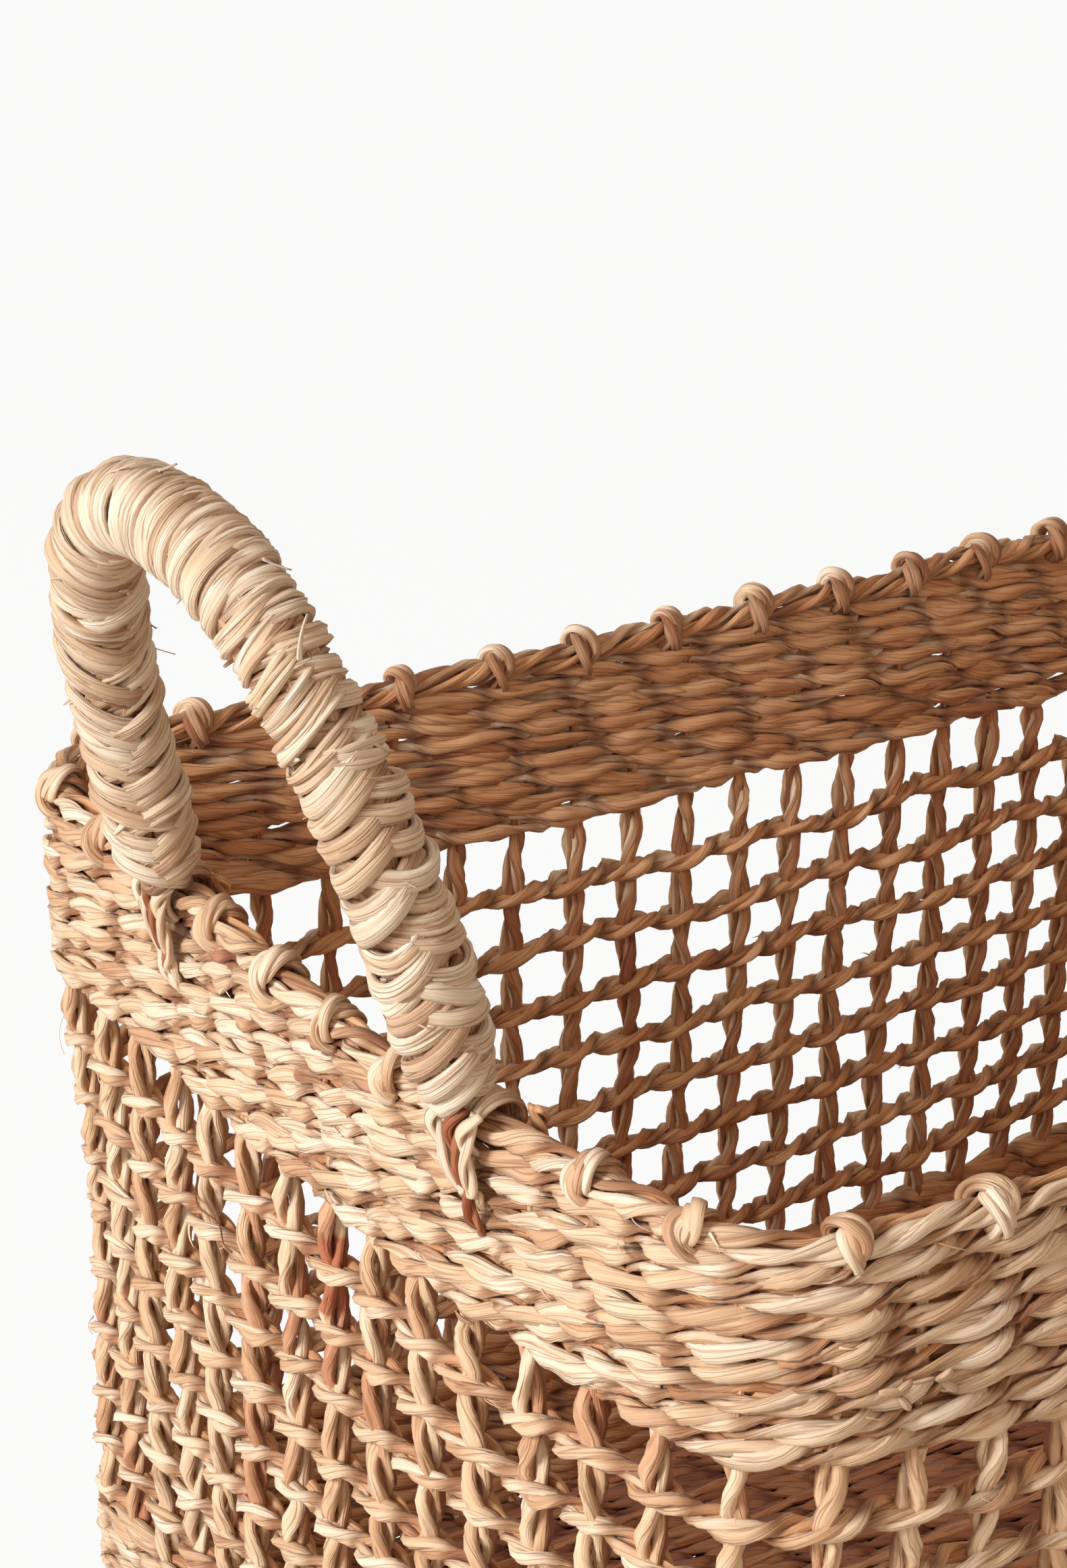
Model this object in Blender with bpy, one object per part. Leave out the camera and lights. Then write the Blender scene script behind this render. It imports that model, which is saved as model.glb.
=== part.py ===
"""A soft rectangular laundry basket, twined from seagrass cord, with two wrapped rope handles.

Units are metres and +Z is up. X runs along the long walls, Y along the short ones, and the
origin is the middle of the plan, on the underside of the base. Stakes (the warps) run up one
wall, across the base and up the opposite wall. Bands and single rows of twining (the wefts)
go round them, a thick cord closes the rim, and each handle is a fibre core in a flat wrap
that two ties hold on the rim of a short wall.
"""

import math

import bmesh
import bpy
from mathutils import Vector

# Plan of the walls' outer face, before the walls bow
LENGTH = 0.450
WIDTH = 0.338
CORNER_RADIUS = 0.033
SHORT_WALL_BOW = 0.016        # both short walls bulge outwards at mid-width
FRONT_BOW = 0.021             # the front wall bulges outwards at mid-length
BACK_BOW = -0.017             # the back wall leans inwards at mid-length

# Heights of the woven rows
RIM_TOP = 0.300
LOWER_BAND_TOP = 0.066
UPPER_BAND_BOTTOM = 0.240
OPEN_ROWS = 8
OPEN_ROW_HEIGHT = 0.005

# Thicknesses, from the outer face inwards
GAP = 0.0003                  # clearance between pieces that touch
WEFT_THICKNESS = 0.005
STAKE_THICKNESS = 0.004
STAKE_WIDTH = 0.006
RIM_CORD_RADIUS = 0.0055
BASE_THICKNESS = 0.005
BASE_LAYER = 0.003            # thickness of a stake where it crosses the base

# Stakes, counted on the base; each one rises on two opposite walls
STAKES_OVER_WIDTH = 20        # run along Y, between the long walls
STAKES_OVER_LENGTH = 16       # run along X, between the short walls
STAKE_PLACES = 2 * (STAKES_OVER_WIDTH + STAKES_OVER_LENGTH)
RUN_STEPS = 8                 # steps of a stake's run across the base

# Handles, in the plane of the arch
HANDLE_RADIUS = 0.011
HANDLE_CORE_RADIUS = 0.007
HANDLE_RISE = 0.119           # from the flex axis to the middle of the rope at the top
HANDLE_SQUARENESS = 2.25      # 2 is an ellipse, more is squarer
HANDLE_LEAN = math.radians(16.0)
FOOT_PLACE = 3.5              # stake places from the middle of the short wall to a foot
HANDLE_STEPS = 22
HANDLE_SIDES = 10

# Ties, saddles of strand over the rim under each foot
TIE_WIDTH = 0.014
TIE_THICKNESS = 0.0018
TIE_DROP = 0.038
TIE_SIDE_CLEARANCE = 0.0012

# Values that follow from the ones above
STRAIGHT_X = LENGTH / 2 - CORNER_RADIUS
STRAIGHT_Y = WIDTH / 2 - CORNER_RADIUS
CORNER_ARC = CORNER_RADIUS * math.pi / 2
PERIMETER = 4 * (STRAIGHT_X + STRAIGHT_Y + CORNER_ARC)
STAKE_INSET = WEFT_THICKNESS + GAP
RIM_CORD_INSET = (WEFT_THICKNESS + GAP + STAKE_THICKNESS) / 2
WALL_TOP = RIM_TOP - 2 * RIM_CORD_RADIUS - GAP
TIE_TOP = RIM_TOP + GAP + TIE_THICKNESS
FLEX_AXIS_Z = TIE_TOP + 2 * GAP + HANDLE_RADIUS

STRAW = (0.62, 0.45, 0.26)
PALE_STRAW = (0.72, 0.56, 0.36)
BROWN_STRAW = (0.42, 0.27, 0.15)


def clear_scene():
    for old in list(bpy.data.objects):
        bpy.data.objects.remove(old, do_unlink=True)


def fibre_material(name, colour):
    material = bpy.data.materials.new(name)
    material.use_nodes = True
    shader = material.node_tree.nodes["Principled BSDF"]
    shader.inputs["Base Color"].default_value = (*colour, 1.0)
    shader.inputs["Roughness"].default_value = 0.75
    shader.inputs["Metallic"].default_value = 0.0
    return material


# ---------------------------------------------------------------- plan of the walls

def straight_plan(turn, inset):
    """Point of the un-bowed plan; turn goes 0 to 1, anticlockwise from the front wall's middle."""
    reach = CORNER_RADIUS - inset
    centres = [(STRAIGHT_X, -STRAIGHT_Y), (STRAIGHT_X, STRAIGHT_Y),
               (-STRAIGHT_X, STRAIGHT_Y), (-STRAIGHT_X, -STRAIGHT_Y)]
    straights = [2 * STRAIGHT_Y, 2 * STRAIGHT_X]
    rest = (turn * PERIMETER - STRAIGHT_X) % PERIMETER
    for corner, centre in enumerate(centres):
        arc = min(rest, CORNER_ARC)
        angle = (corner - 1) * math.pi / 2 + arc / CORNER_RADIUS
        rest -= arc
        along = min(rest, straights[corner % 2])
        rest -= along
        point = Vector(centre) + reach * Vector((math.cos(angle), math.sin(angle)))
        point += along * Vector((-math.sin(angle), math.cos(angle)))
        if rest <= 0:
            break
    return point


def bowed(point):
    """Bends a point (x, y, z) of the straight plan to the bulging walls of the soft basket."""
    x, y, z = point
    along = max(0.0, 1 - (2 * x / LENGTH) ** 2)
    across = max(0.0, 1 - (2 * y / WIDTH) ** 2)
    bow = FRONT_BOW if y < 0 else BACK_BOW
    return Vector((x * (1 + 2 * SHORT_WALL_BOW / LENGTH * across),
                   y * (1 + 2 * bow / WIDTH * along), z))


def wall_frame(place, inset):
    """Middle, direction along the wall, and inward direction of the facet at a stake's place."""
    start = straight_plan((place - 0.5) / STAKE_PLACES, inset)
    end = straight_plan((place + 0.5) / STAKE_PLACES, inset)
    along = (end - start).normalized()
    return (start + end) / 2, along, Vector((-along.y, along.x))


# ---------------------------------------------------------------- meshes

def add_object(name, vertices, faces, colour, smooth_angle=None):
    """One closed mesh object with its own material."""
    mesh = bpy.data.meshes.new(name)
    mesh.from_pydata([tuple(v) for v in vertices], [], faces)
    working = bmesh.new()
    working.from_mesh(mesh)
    bmesh.ops.recalc_face_normals(working, faces=working.faces)
    working.to_mesh(mesh)
    working.free()
    mesh.materials.append(fibre_material(name + "_fibre", colour))
    if smooth_angle is not None:
        mesh.shade_smooth()
        mesh.set_sharp_from_angle(angle=smooth_angle)
    piece = bpy.data.objects.new(name, mesh)
    bpy.context.collection.objects.link(piece)
    return piece


def skin(sections, closed):
    """Vertices and faces of a skin over equal polygons, in a closed loop or capped at its ends."""
    size = len(sections[0])
    count = len(sections)
    vertices = [vertex for section in sections for vertex in section]
    faces = []
    for i in range(count if closed else count - 1):
        here, there = i * size, (i + 1) % count * size
        for j in range(size):
            k = (j + 1) % size
            faces.append((here + j, here + k, there + k, there + j))
    if not closed:
        faces.append(tuple(range(size)))
        faces.append(tuple(range((count - 1) * size, count * size)))
    return vertices, faces


def wall_ring(name, profile, colour):
    """A ring that follows the walls; its profile is a polygon of (inset, z) points."""
    sections = []
    for place in range(STAKE_PLACES):
        turn = place / STAKE_PLACES
        sections.append([bowed((*straight_plan(turn, inset), z)) for inset, z in profile])
    return add_object(name, *skin(sections, closed=True), colour)


def band_profile(bottom, top):
    return [(0, bottom), (WEFT_THICKNESS, bottom), (WEFT_THICKNESS, top), (0, top)]


# ---------------------------------------------------------------- woven pieces

def base_weave():
    """The flat twined fabric that the basket stands on, inside the lowest band."""
    edge = [straight_plan(place / STAKE_PLACES, STAKE_INSET) for place in range(STAKE_PLACES)]
    sections = [[bowed((*point, z)) for point in edge] for z in (0, BASE_THICKNESS)]
    add_object("base_weave", *skin(sections, closed=False), BROWN_STRAW)


def stake(name, first_place, second_place, layer_bottom):
    """A U-shaped warp: down one wall, across the base in its own layer, up the opposite wall."""
    layer_top = layer_bottom + BASE_LAYER
    half = STAKE_WIDTH / 2
    legs = []
    for place in (first_place, second_place):
        middle, along, inward = wall_frame(place, STAKE_INSET)
        inner = middle + STAKE_THICKNESS * inward
        flat = [middle - half * along, middle + half * along,
                inner + half * along, inner - half * along]
        top = [(*point, WALL_TOP) for point in flat]
        heights = (layer_bottom, layer_bottom, layer_top, layer_top)
        bend = [(*point, z) for point, z in zip(flat, heights)]
        legs.append((top, bend, middle))
    run = (legs[1][2] - legs[0][2]).normalized()
    side = half * Vector((run.y, -run.x))
    if side.dot(wall_frame(first_place, STAKE_INSET)[1]) > 0:
        side = -side
    sections = [legs[0][0], legs[0][1]]
    for step in range(1, RUN_STEPS):
        middle = legs[0][2].lerp(legs[1][2], step / RUN_STEPS)
        low = [(*(middle + side), layer_bottom), (*(middle - side), layer_bottom)]
        high = [(*(middle - side), layer_top), (*(middle + side), layer_top)]
        sections.append(low + high)
    for section in (legs[1][1], legs[1][0]):
        sections.append([section[1], section[0], section[3], section[2]])
    sections = [[bowed(point) for point in section] for section in sections]
    add_object(name, *skin(sections, closed=False), STRAW)


def stakes():
    """Two sets of parallel stakes, which cross on the base in two layers."""
    quarter = STAKE_PLACES / 4
    low_layer = BASE_THICKNESS + GAP
    high_layer = low_layer + BASE_LAYER + GAP
    for number in range(STAKES_OVER_LENGTH):
        offset = number + 0.5 - STAKES_OVER_LENGTH / 2
        stake(f"long_stake_{number + 1:02d}", quarter + offset, 3 * quarter - offset, low_layer)
    for number in range(STAKES_OVER_WIDTH):
        offset = number + 0.5 - STAKES_OVER_WIDTH / 2
        stake(f"cross_stake_{number + 1:02d}", offset, 2 * quarter - offset, high_layer)


def twined_rows():
    """The dense bands at the bottom and the top, and the single rows of the open-work."""
    wall_ring("lower_band", band_profile(0, LOWER_BAND_TOP), STRAW)
    wall_ring("upper_band", band_profile(UPPER_BAND_BOTTOM, WALL_TOP), STRAW)
    pitch = (UPPER_BAND_BOTTOM - LOWER_BAND_TOP) / (OPEN_ROWS + 1)
    for row in range(1, OPEN_ROWS + 1):
        middle = LOWER_BAND_TOP + row * pitch
        profile = band_profile(middle - OPEN_ROW_HEIGHT / 2, middle + OPEN_ROW_HEIGHT / 2)
        wall_ring(f"open_weft_{row}", profile, STRAW)


def rim_cord():
    """The thick cord that lies on the ends of the stakes and closes the rim."""
    sides = 8
    profile = []
    for side in range(sides):
        angle = 2 * math.pi * side / sides
        inset = RIM_CORD_INSET + RIM_CORD_RADIUS * math.cos(angle)
        profile.append((inset, RIM_TOP - RIM_CORD_RADIUS + RIM_CORD_RADIUS * math.sin(angle)))
    wall_ring("rim_cord", profile, STRAW)


# ---------------------------------------------------------------- handles

def foot_point(wall, side):
    """Middle of a handle's foot on its flex axis; wall and side are the signs of its x and y."""
    quarter = STAKE_PLACES / 4
    middle, _, _ = wall_frame(quarter + FOOT_PLACE, RIM_CORD_INSET)
    return bowed((wall * abs(middle.x), side * abs(middle.y), FLEX_AXIS_Z))


def arch_stations(wall):
    """Centres along the arch from the front foot to the back one, with each one's direction."""
    front = foot_point(wall, -1)
    half_span = -front.y
    up = Vector((wall * math.sin(HANDLE_LEAN), 0, math.cos(HANDLE_LEAN)))
    power = 2 / HANDLE_SQUARENESS
    centres = []
    for step in range(HANDLE_STEPS + 1):
        angle = math.pi * step / HANDLE_STEPS
        across = -math.copysign(abs(math.cos(angle)) ** power, math.cos(angle)) * half_span
        rise = abs(math.sin(angle)) ** power * HANDLE_RISE
        if step in (0, HANDLE_STEPS):
            rise = 0.0
        centres.append(Vector((front.x, across, FLEX_AXIS_Z)) + rise * up)
    directions = [up]
    for before, after in zip(centres, centres[2:]):
        directions.append((after - before).normalized())
    directions.append(-up)
    return centres, directions


def rope_section(centre, direction, radius, wall):
    """A regular polygon round the rope, square to its direction."""
    normal = Vector((math.cos(HANDLE_LEAN), 0, -wall * math.sin(HANDLE_LEAN)))
    other = direction.cross(normal).normalized()
    section = []
    for side in range(HANDLE_SIDES):
        angle = 2 * math.pi * side / HANDLE_SIDES
        section.append(centre + radius * (math.cos(angle) * normal + math.sin(angle) * other))
    return section


def rope_sections(wall, end_radii, radius):
    """Sections over the whole arch; end_radii lists (depth past the flex axis, radius)."""
    centres, directions = arch_stations(wall)
    first, last = directions[0], directions[-1]
    sections = []
    for depth, end_radius in reversed(end_radii):
        sections.append(rope_section(centres[0] - depth * first, first, end_radius, wall))
    for centre, direction in zip(centres, directions):
        sections.append(rope_section(centre, direction, radius, wall))
    for depth, end_radius in end_radii:
        sections.append(rope_section(centres[-1] + depth * last, last, end_radius, wall))
    return sections


def ball_radius(depth):
    """Radius of the round foot at a depth past the flex axis."""
    return math.sqrt(HANDLE_RADIUS ** 2 - depth ** 2)


def handle(side_name, wall):
    """A fibre core inside a wrap; both end in round feet about the flex axis."""
    core_depth = math.sqrt(HANDLE_RADIUS ** 2 - HANDLE_CORE_RADIUS ** 2)
    tip_depth = 0.97 * HANDLE_RADIUS
    middle_depth = (core_depth + tip_depth) / 2
    core_ends = [(core_depth, HANDLE_CORE_RADIUS)]
    core_ends += [(depth, ball_radius(depth)) for depth in (middle_depth, tip_depth)]
    core = rope_sections(wall, core_ends, HANDLE_CORE_RADIUS)
    add_object(f"handle_{side_name}_core", *skin(core, closed=False), PALE_STRAW, math.radians(50))

    bore = HANDLE_CORE_RADIUS + GAP
    depths = [share * core_depth for share in (0.45, 0.7, 0.88)]
    outer = rope_sections(wall, [(depth, ball_radius(depth)) for depth in depths], HANDLE_RADIUS)
    inner = rope_sections(wall, [(depth, bore) for depth in depths], bore)
    wrap = skin(outer + inner[::-1], closed=True)
    add_object(f"handle_{side_name}_wrap", *wrap, PALE_STRAW, math.radians(50))


def tie(name, wall, side):
    """A saddle of strand under a foot, over the rim cord and down both faces of the band."""
    outer = RIM_CORD_INSET - RIM_CORD_RADIUS - TIE_SIDE_CLEARANCE
    inner = RIM_CORD_INSET + RIM_CORD_RADIUS + TIE_SIDE_CLEARANCE
    low = RIM_TOP - TIE_DROP
    under = RIM_TOP + GAP
    saddle = [(outer - TIE_THICKNESS, low), (outer, low), (outer, under), (inner, under),
              (inner, low), (inner + TIE_THICKNESS, low), (inner + TIE_THICKNESS, TIE_TOP),
              (outer - TIE_THICKNESS, TIE_TOP)]
    middle_y = abs(wall_frame(STAKE_PLACES / 4 + FOOT_PLACE, 0)[0].y)
    sections = []
    for edge in (-1, 1):
        y = side * middle_y + edge * TIE_WIDTH / 2
        sections.append([bowed((wall * (LENGTH / 2 - inset), y, z)) for inset, z in saddle])
    add_object(name, *skin(sections, closed=False), PALE_STRAW)


def handles():
    for side_name, wall in (("left", -1), ("right", 1)):
        handle(side_name, wall)
        tie(f"handle_{side_name}_front_tie", wall, -1)
        tie(f"handle_{side_name}_back_tie", wall, 1)


def main():
    clear_scene()
    base_weave()
    stakes()
    twined_rows()
    rim_cord()
    handles()


main()
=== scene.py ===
"""Looks of the seagrass laundry basket: every strand of its weave, its handles, light and camera.

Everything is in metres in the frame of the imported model, +Z up. Each strand is swept along its
own path. Wall paths are given as a turn round the plan (0 to 1, anticlockwise from the middle of
the front wall), a height, and a distance out from the middle of the wall's thickness.
"""
import math

import bpy
import numpy as np
from mathutils import Matrix, Vector


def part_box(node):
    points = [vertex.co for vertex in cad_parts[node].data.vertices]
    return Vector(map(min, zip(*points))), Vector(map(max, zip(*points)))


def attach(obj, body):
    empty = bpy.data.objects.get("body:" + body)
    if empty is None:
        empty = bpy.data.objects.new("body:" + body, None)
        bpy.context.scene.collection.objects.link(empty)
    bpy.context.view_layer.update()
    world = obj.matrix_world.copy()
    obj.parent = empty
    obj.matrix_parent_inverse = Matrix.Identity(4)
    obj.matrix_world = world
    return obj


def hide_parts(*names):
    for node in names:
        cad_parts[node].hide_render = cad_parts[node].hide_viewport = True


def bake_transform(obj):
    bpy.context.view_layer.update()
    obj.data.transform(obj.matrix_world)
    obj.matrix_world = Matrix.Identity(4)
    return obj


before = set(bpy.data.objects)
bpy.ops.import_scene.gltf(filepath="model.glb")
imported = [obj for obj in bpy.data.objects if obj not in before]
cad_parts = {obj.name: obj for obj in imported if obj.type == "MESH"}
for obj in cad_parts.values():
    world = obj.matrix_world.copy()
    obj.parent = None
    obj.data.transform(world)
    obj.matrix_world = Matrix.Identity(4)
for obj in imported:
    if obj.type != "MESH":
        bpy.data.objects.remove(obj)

PI = math.pi
UP = np.array([0.0, 0.0, 1.0])
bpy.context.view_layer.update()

# ---------------------------------------------------------------- sizes, from the frame

CORNER_RADIUS = 0.033
SHORT_WALL_BOW = 0.016
FRONT_BOW = 0.021
BACK_BOW = -0.017
STAKE_PLACES = 72             # stakes round the walls, at the middles of 72 equal places
KNOTS = 48                    # loops over the rim
BAND_CROSSINGS = 56           # how often the bands' strands cross in one turn
MIDDLE_INSET = 0.00465        # from the walls' outer face to the middle of their thickness
LENGTH = 0.450                # straight plan, before the walls bulge
WIDTH = 0.338
TAPER = 0.018                 # the walls come in by this share at the bottom
BACK_SHARE = 16 / BAND_CROSSINGS  # the part in which the bands' twining turns the other way

band_low, band_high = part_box("upper_band")
RIM_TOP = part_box("rim_cord")[1].z
BAND_BOTTOM = band_low.z
BAND_TOP = band_high.z
FOOT_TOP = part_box("lower_band")[1].z
OPEN_HEIGHTS = [sum(corner.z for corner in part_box(f"open_weft_{row}")) / 2 for row in range(1, 9)]
OPEN_PITCH = OPEN_HEIGHTS[1] - OPEN_HEIGHTS[0]

STRAIGHT_X = LENGTH / 2 - CORNER_RADIUS
STRAIGHT_Y = WIDTH / 2 - CORNER_RADIUS
CORNER_ARC = CORNER_RADIUS * PI / 2
PERIMETER = 4 * (STRAIGHT_X + STRAIGHT_Y + CORNER_ARC)
CORNERS = np.array([(STRAIGHT_X, -STRAIGHT_Y), (STRAIGHT_X, STRAIGHT_Y),
                    (-STRAIGHT_X, STRAIGHT_Y), (-STRAIGHT_X, -STRAIGHT_Y)])
CORNER_SPANS = np.array([STRAIGHT_Y, STRAIGHT_X, STRAIGHT_Y, STRAIGHT_X]) * 2 + CORNER_ARC
CORNER_STARTS = np.concatenate([[0.0], np.cumsum(CORNER_SPANS)[:-1]])

# Where the soft walls swell: turn, height, spread along the wall, spread in height, how far.
SWELLINGS = [(0.655, 0.27, 0.035, 0.07, 0.0075), (0.787, 0.30, 0.020, 0.05, 0.0045),
             (0.345, 0.28, 0.030, 0.08, 0.0040), (0.860, 0.24, 0.030, 0.06, 0.0020)]
# Where the rim stands higher, and where the upper band reaches lower: turn, span, how far.
RIM_RISES = [(0.47, 0.17, 0.0062), (0.93, 0.05, 0.0032)]
BAND_DROPS = [(0.90, 0.06, 0.0032), (0.47, 0.15, -0.0012)]


# ---------------------------------------------------------------- shape of the soft walls

def unit(vectors):
    return vectors / np.maximum(np.linalg.norm(vectors, axis=-1, keepdims=True), 1e-12)


def ripple(turn, slowest, fastest, seed, terms=6):
    """Smooth noise of about -1 to 1 that meets itself after one turn."""
    draw = np.random.default_rng(seed)
    total = np.zeros(np.shape(turn))
    for _ in range(terms):
        total += np.sin(2 * PI * (draw.integers(slowest, fastest + 1) * turn + draw.random()))
    return total / math.sqrt(terms)


def plan(turn, inset):
    """Points of the straight plan and their outward directions, at an inset from the outer face."""
    rest = (turn * PERIMETER - STRAIGHT_X) % PERIMETER
    corner = np.clip(np.searchsorted(CORNER_STARTS, rest, side="right") - 1, 0, 3)
    rest = rest - CORNER_STARTS[corner]
    arc = np.minimum(rest, CORNER_ARC)
    angle = (corner - 1) * PI / 2 + arc / CORNER_RADIUS
    outward = np.stack([np.cos(angle), np.sin(angle)], -1)
    along = np.stack([-np.sin(angle), np.cos(angle)], -1)
    reach = np.asarray(CORNER_RADIUS - inset)[..., None]
    return CORNERS[corner] + reach * outward + (rest - arc)[..., None] * along, outward


def bowed(flat):
    """Bends straight-plan points (..., 2) to the walls' bulge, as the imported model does."""
    x, y = flat[..., 0], flat[..., 1]
    along = np.maximum(0, 1 - (2 * x / LENGTH) ** 2)
    across = np.maximum(0, 1 - (2 * y / WIDTH) ** 2)
    bow = np.where(y < 0, FRONT_BOW, BACK_BOW)
    return np.stack([x * (1 + 2 * SHORT_WALL_BOW / LENGTH * across),
                     y * (1 + 2 * bow / WIDTH * along)], -1)


def bump(turn, height, middle, level, span, tall):
    """A smooth swelling, 1 at its middle, around a turn and a height."""
    away = (turn - middle + 0.5) % 1 - 0.5
    return np.exp(-(away / span) ** 2 - ((height - level) / tall) ** 2)


def softness(turn, height):
    """How far the soft wall stands out of its true place, in metres."""
    total = np.zeros(np.broadcast(turn, height).shape)
    for cycles, lean, start in ((3, 2.0, 0.1), (5, -3.5, 0.4), (8, 5.0, 0.75), (13, -6.0, 0.2)):
        total = total + 0.0005 * np.sin(2 * PI * (cycles * turn + lean * height + start))
    for middle, level, span, tall, reach in SWELLINGS:
        total = total + reach * bump(turn, height, middle, level, span, tall)
    return total


def wall(turn, height, out=0.0, sideways=0.0):
    """Points of the soft wall, with their outward directions and directions along the wall."""
    turn, height, out = np.broadcast_arrays(turn + sideways / PERIMETER, height, out)
    flat, outward = plan(turn, MIDDLE_INSET - out - softness(turn, height))
    share = np.clip(height / RIM_TOP, 0, 1)
    flat = bowed(flat) * (1 - TAPER * (1 - share))[..., None]
    sag = 0.0006 * share * ripple(turn, 2, 6, 5)
    for middle, span, reach in RIM_RISES:
        sag = sag + reach * share ** 4 * bump(turn, 0, middle, 0, span, 1)
    points = np.concatenate([flat, (height + sag)[..., None]], -1)
    outward = np.concatenate([outward, np.zeros(outward.shape[:-1] + (1,))], -1)
    return points, outward, np.cross(UP, outward)


def smooth_line(points, steps):
    """A smooth curve through points, an array of rows, at evenly spaced parameters."""
    points = np.asarray(points, float)
    padded = np.concatenate([[2 * points[0] - points[1]], points, [2 * points[-1] - points[-2]]])
    places = np.linspace(0, len(points) - 1, steps)
    first = np.minimum(places.astype(int), len(points) - 2)
    t = (places - first)[:, None]
    a, b, c, d = (padded[first + k] for k in range(4))
    return 0.5 * (2 * b + (c - a) * t + (2 * a - 5 * b + 4 * c - d) * t ** 2
                  + (3 * b - a - 3 * c + d) * t ** 3)


# ---------------------------------------------------------------- strands

class Strands:
    """Strands of fibre that become one mesh, with a UV map in metres and per-point attributes.

    tone is the strand's own shade, 0 to 1. lift is 1 on the outer face, 0 deep in the weave and
    -1 on the inner face. The material paints shade by lift: darkest near 0, between the strands, and a
    partly shaded palette on the inner face.
    """

    def __init__(self, seed):
        self.draw = np.random.default_rng(seed)
        self.points, self.loops, self.sizes, self.uvs, self.tones, self.lifts = ([] for _ in range(6))
        self.count = 0

    def shades(self, steps, tone):
        """A strand's shade at each step: it changes where one leaf ends and the next begins."""
        draw = self.draw
        if tone is not None:
            return np.full(steps, tone) + 0.06 * np.sin(np.arange(steps) * 0.3 + draw.random() * 6)
        leaves = steps // 40 + 2
        values = draw.random(leaves) ** 1.2 * 0.8 + (draw.random(leaves) < 0.02) * 0.4
        edges = np.arange(leaves) * 40.0 - draw.random() * 40
        places = np.stack([edges, edges + 33], -1).ravel()
        shade = np.interp(np.arange(steps), places, np.repeat(values, 2))
        return np.clip(shade + 0.08 * np.sin(np.arange(steps) * 0.21 + draw.random() * 6), 0, 1)

    def add(self, path, face, wide, thin, lift=1.0, tone=None, closed=False, sides=8, fold=0.16,
            across_lift=0.0):
        """Sweeps one flattened strand along path; face is the way that its broad side looks.

        With across_lift the lift also changes from the strand's outer face to its inner face.
        """
        steps = len(path)
        if closed:
            tangent = unit(np.roll(path, -1, 0) - np.roll(path, 1, 0))
        else:
            tangent = unit(np.gradient(path, axis=0))
        face = np.broadcast_to(face, path.shape)
        face = unit(face - tangent * np.sum(face * tangent, -1, keepdims=True))
        side = np.cross(tangent, face)
        length = np.linalg.norm(np.diff(path, axis=0, append=path[:1]), axis=-1)
        reach = np.concatenate([[0.0], np.cumsum(length)])
        angle = 2 * PI * (np.arange(sides) + 0.5) / sides
        whole_turns = max(1, round(reach[-1] / 0.045)) if closed else reach[-1] / 0.045
        twist = 2 * PI * (whole_turns * np.arange(steps) / steps + self.draw.random())
        folds = 1 + fold * np.sin(3 * angle[None, :] + twist[:, None])
        across, through = np.cos(angle) * folds, np.sin(angle) * (2 * folds - 1)
        wide = np.broadcast_to(wide, steps)[:, None, None]
        thin = np.broadcast_to(thin, steps)[:, None, None]
        rings = path[:, None] + wide * across[..., None] * side[:, None]
        rings = rings + thin * through[..., None] * face[:, None]
        self.points.append(rings.reshape(-1, 3))
        self.tones.append(np.repeat(self.shades(steps, tone), sides))
        lifts = np.broadcast_to(lift, steps)[:, None] + across_lift * np.sin(angle)[None, :]
        self.lifts.append(np.clip(lifts, -1, 1).ravel())

        spans = steps if closed else steps - 1
        here = np.arange(spans)[:, None] * sides
        there = (np.arange(spans)[:, None] + 1) % steps * sides
        k = np.arange(sides)[None, :]
        k_next = (k + 1) % sides
        quads = np.stack([here + k, here + k_next, there + k_next, there + k], -1)
        self.loops.append(quads.reshape(-1) + self.count)
        self.sizes.append(np.full(spans * sides, 4))
        shift_u, shift_v = self.draw.random(2) * 5
        girth = 5 * float(np.mean(wide)) / sides
        u0 = np.broadcast_to(reach[:spans, None] + shift_u, (spans, sides))
        u1 = np.broadcast_to(reach[1:spans + 1, None] + shift_u, (spans, sides))
        v0 = np.broadcast_to(k * girth + shift_v, (spans, sides))
        uv = np.stack([u0, v0, u0, v0 + girth, u1, v0 + girth, u1, v0], -1)
        self.uvs.append(uv.reshape(-1, 2))
        if not closed:
            for ring, order in ((0, k[0][::-1]), ((steps - 1) * sides, k[0])):
                self.loops.append(order + ring + self.count)
                self.sizes.append(np.array([sides]))
                self.uvs.append(np.tile([shift_u, shift_v], (sides, 1)))
        self.count += steps * sides

    def leaves(self, path, face, wide, thin, lift, closed=False, turns=30, sides=6, tone=None):
        """Two leaves laid side by side that twist slowly round each other as one strand."""
        if closed:
            tangent = unit(np.roll(path, -1, 0) - np.roll(path, 1, 0))
        else:
            tangent = unit(np.gradient(path, axis=0))
        side = np.cross(tangent, face)
        wide = np.broadcast_to(wide, len(path))
        start = self.draw.random() * 2 * PI
        for leaf in (0, 1):
            angle = 2 * PI * turns * np.arange(len(path)) / len(path) + start + PI * leaf
            shift = (0.44 * wide * np.cos(angle))[:, None] * side
            shift = shift + (0.55 * thin * np.sin(angle))[..., None] * face
            self.add(path + shift, face, 0.66 * wide, 0.72 * thin, lift, tone, closed, sides, 0.12)

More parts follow.
